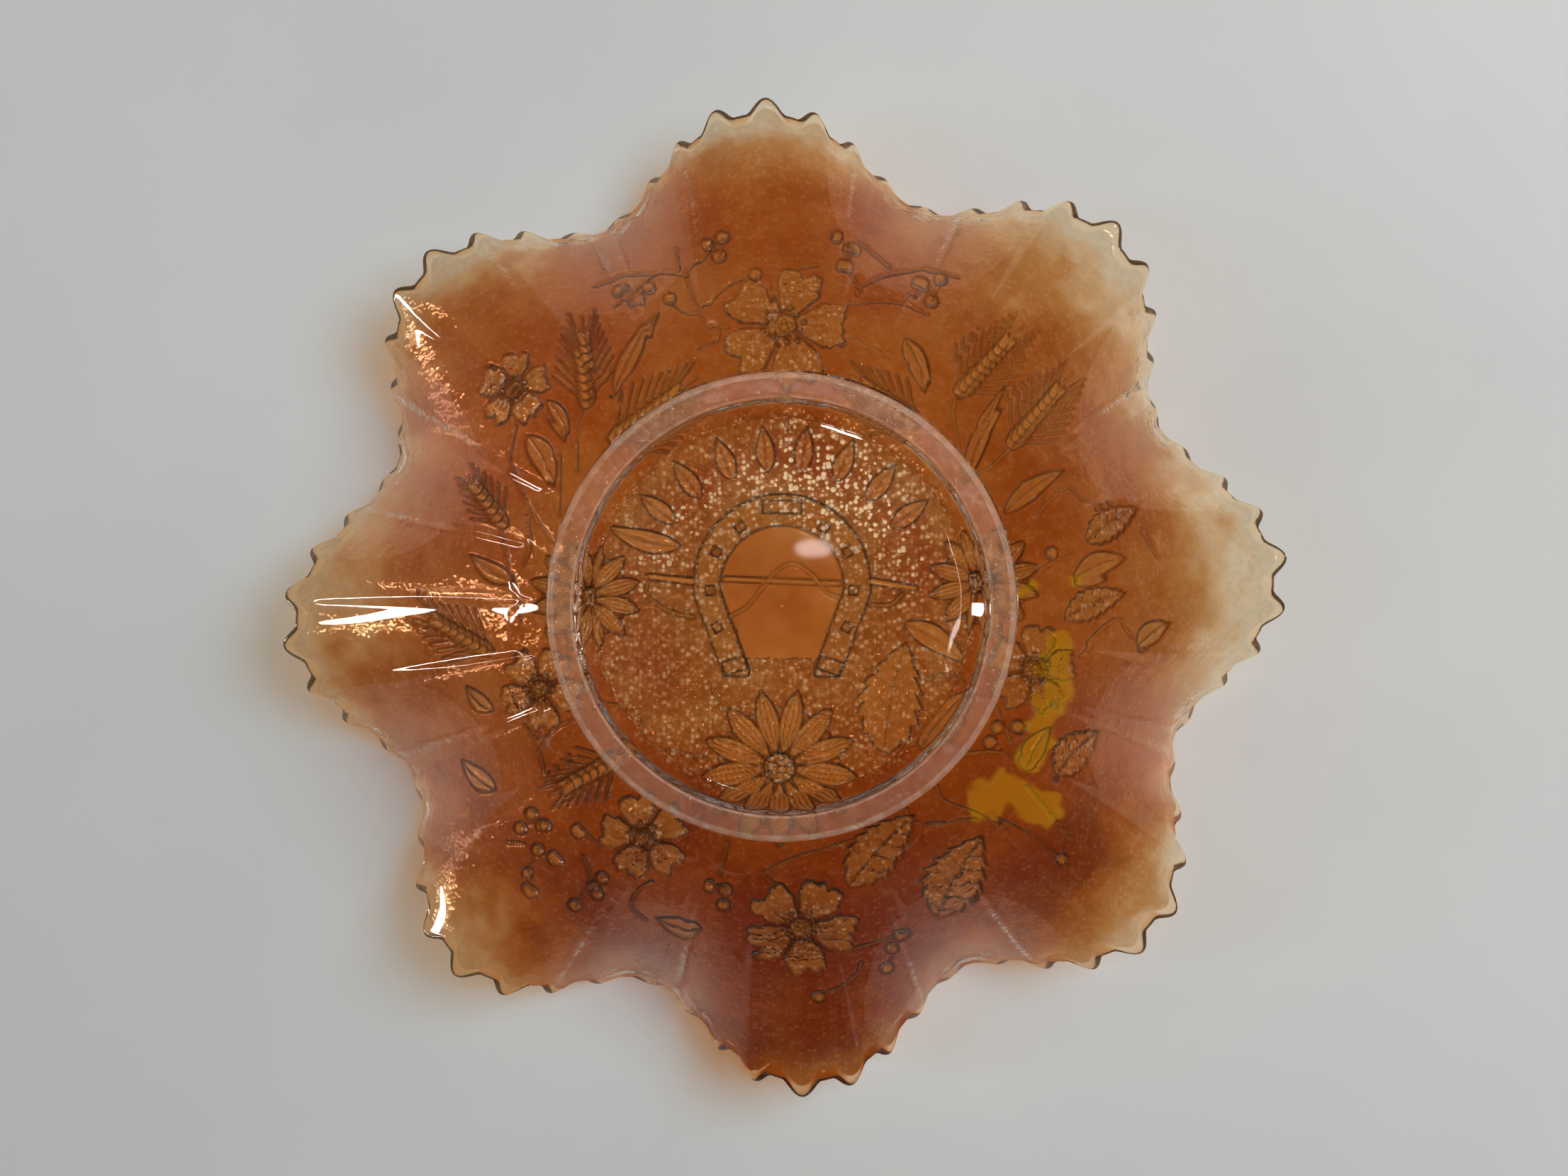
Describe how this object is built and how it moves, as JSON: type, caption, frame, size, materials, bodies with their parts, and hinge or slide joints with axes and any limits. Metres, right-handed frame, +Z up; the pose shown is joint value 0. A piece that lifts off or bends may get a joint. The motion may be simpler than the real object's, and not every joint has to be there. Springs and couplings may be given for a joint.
{
  "type": "ruffled carnival glass bowl",
  "caption": "Round pressed glass bowl with a ruffled saw-tooth rim, a foot ring and raised flowers, leaves and a horseshoe inside, under an iridescent marigold film.",
  "frame": {"origin": "on the table, under the centre of the bowl, which stands rim down as it is stored and pictured", "axes": "+Z up, from the rim towards the foot ring; +X to the right and +Y to the back, with the horseshoe's closed end towards +Y"},
  "size_m": [0.219, 0.2202, 0.06],
  "materials": {
    "amber_glass": "pressed glass under an iridescent marigold film, glossy",
    "clear_foot_glass": "clear fire-polished glass",
    "marigold_relief": "stippled pressed relief under an iridescent marigold film"
  },
  "bodies": {
    "root": {"arch_leaf_1": "marigold_relief", "arch_leaf_2": "marigold_relief", "arch_leaf_3": "marigold_relief", "arch_leaf_4": "marigold_relief", "arch_leaf_5": "marigold_relief", "arch_leaf_6": "marigold_relief", "arch_leaf_7": "marigold_relief", "arch_leaf_8": "marigold_relief", "base": "amber_glass", "berries_back_1": "marigold_relief", "berries_back_2": "marigold_relief", "berries_back_3": "marigold_relief", "berries_back_4": "marigold_relief", "berries_front_1": "marigold_relief", "berries_front_2": "marigold_relief", "berries_front_3": "marigold_relief", "berries_front_4": "marigold_relief", "berries_front_5": "marigold_relief", "daisy_front": "marigold_relief", "daisy_left": "marigold_relief", "daisy_right": "marigold_relief", "foot_ring": "clear_foot_glass", "horseshoe": "marigold_relief", "leaf_back_1": "marigold_relief", "leaf_back_2": "marigold_relief", "leaf_front_1": "marigold_relief", "leaf_front_2": "marigold_relief", "leaf_front_3": "marigold_relief", "leaf_inside_1": "marigold_relief", "leaf_inside_2": "marigold_relief", "leaf_inside_3": "marigold_relief", "leaf_inside_4": "marigold_relief", "leaf_left_1": "marigold_relief", "leaf_left_2": "marigold_relief", "leaf_left_3": "marigold_relief", "leaf_left_4": "marigold_relief", "leaf_left_5": "marigold_relief", "leaf_right_1": "marigold_relief", "leaf_right_2": "marigold_relief", "leaf_right_3": "marigold_relief", "leaf_right_4": "marigold_relief", "leaf_right_5": "marigold_relief", "leaf_right_6": "marigold_relief", "leaf_right_7": "marigold_relief", "leaf_right_8": "marigold_relief", "ruffled_wall": "amber_glass", "wheat_ear_back": "marigold_relief", "wheat_ear_back_left_1": "marigold_relief", "wheat_ear_back_left_2": "marigold_relief", "wheat_ear_front_left": "marigold_relief", "wheat_ear_left_1": "marigold_relief", "wheat_ear_left_2": "marigold_relief", "wheat_ear_right_1": "marigold_relief", "wheat_ear_right_2": "marigold_relief", "wild_rose_back": "marigold_relief", "wild_rose_back_left": "marigold_relief", "wild_rose_front": "marigold_relief", "wild_rose_front_left": "marigold_relief", "wild_rose_left": "marigold_relief", "wild_rose_right": "marigold_relief"}
  },
  "joints": []
}
